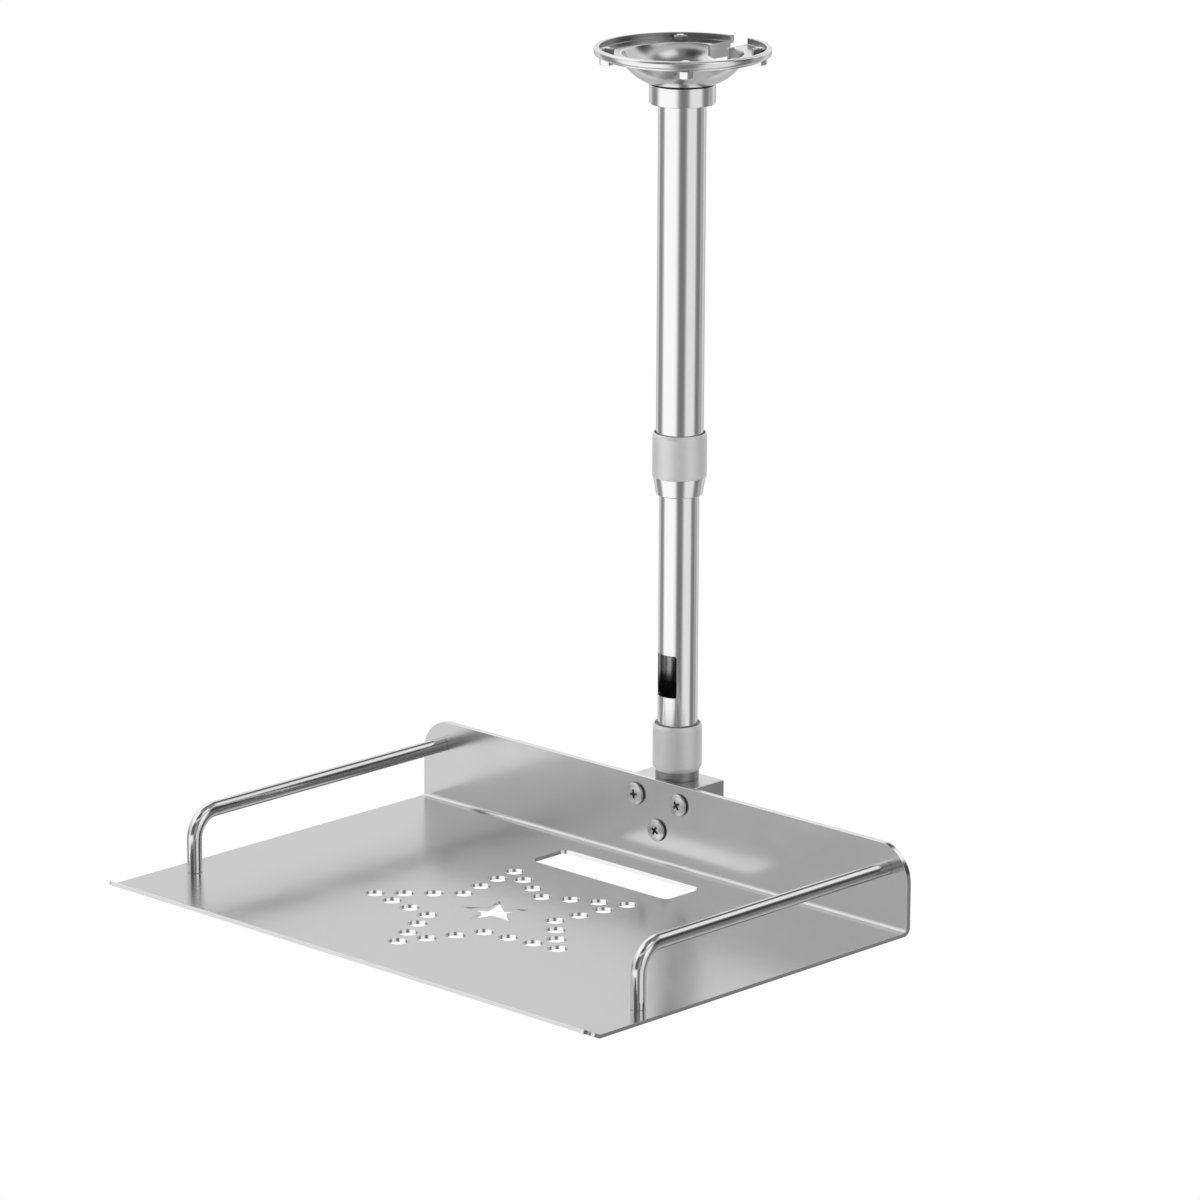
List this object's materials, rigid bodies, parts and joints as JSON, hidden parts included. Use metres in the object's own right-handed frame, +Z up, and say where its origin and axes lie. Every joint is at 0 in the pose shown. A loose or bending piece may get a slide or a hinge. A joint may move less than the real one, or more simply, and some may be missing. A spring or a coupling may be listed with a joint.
{
  "type": "projector ceiling mount",
  "caption": "Stainless steel projector ceiling mount: round ceiling plate, telescopic pole with twist lock nuts, and a swivelling tray with side rails, cable slot and pierced star.",
  "frame": {"origin": "centre of the ceiling plate's rim, on the plane of the ceiling", "axes": "+Z up through the ceiling along the pole's axis, -Y towards the front lip of the tray, +X towards the tray's right side seen from the front"},
  "size_m": [0.35, 0.2946, 0.4388],
  "materials": {
    "polished_steel": "polished stainless tube and rod",
    "satin_steel": "fine satin stainless",
    "sheet_steel": "satin stainless sheet with polished edges",
    "blasted_steel": "bead-blasted matte stainless",
    "dark_steel": "turned, darker stainless",
    "screw_steel": "bright stainless fasteners",
    "brass_ring": "plain turned brass"
  },
  "bodies": {
    "upper_pole": {"ceiling_plate": "satin_steel", "pole_collar": "polished_steel", "upper_tube": "polished_steel", "ceiling_bolt_back_right": "screw_steel", "ceiling_bolt_back_left": "screw_steel", "ceiling_bolt_front_left": "screw_steel", "ceiling_bolt_front_right": "screw_steel", "ceiling_nut_back_right": "screw_steel", "ceiling_nut_back_left": "screw_steel", "ceiling_nut_front_left": "screw_steel", "ceiling_nut_front_right": "screw_steel"},
    "lock_nut": {"lock_nut": "blasted_steel", "lock_cone": "polished_steel", "clamp_ring": "brass_ring"},
    "lower_tube": {"lower_tube": "polished_steel"},
    "tray": {"swivel_socket": "dark_steel", "mount_block": "satin_steel", "tray": "sheet_steel", "back_screw_left": "screw_steel", "back_screw_right": "screw_steel", "back_screw_lower": "screw_steel", "left_rail": "polished_steel", "right_rail": "polished_steel", "left_rail_foot_screw": "screw_steel", "left_rail_back_screw": "screw_steel", "right_rail_foot_screw": "screw_steel", "right_rail_back_screw": "screw_steel"},
    "swivel_nut": {"swivel_nut": "blasted_steel"}
  },
  "joints": [
    {"name": "lock_nut_turn", "type": "hinge", "parent": "upper_pole", "child": "lock_nut", "pos_m": [0, 0, -0.2148], "axis": [0, 0, 1], "range_deg": [-270, 0]},
    {"name": "pole_slide", "type": "slide", "parent": "upper_pole", "child": "lower_tube", "axis": [0, 0, 1], "range_m": [-0.09, 0.075]},
    {"name": "tray_swivel", "type": "hinge", "parent": "lower_tube", "child": "tray", "pos_m": [0, 0, -0.38], "axis": [0, 0, 1], "range_deg": [-170, 170]},
    {"name": "swivel_nut_turn", "type": "hinge", "parent": "tray", "child": "swivel_nut", "pos_m": [0, 0, -0.373], "axis": [0, 0, 1], "range_deg": [0, 270]}
  ]
}
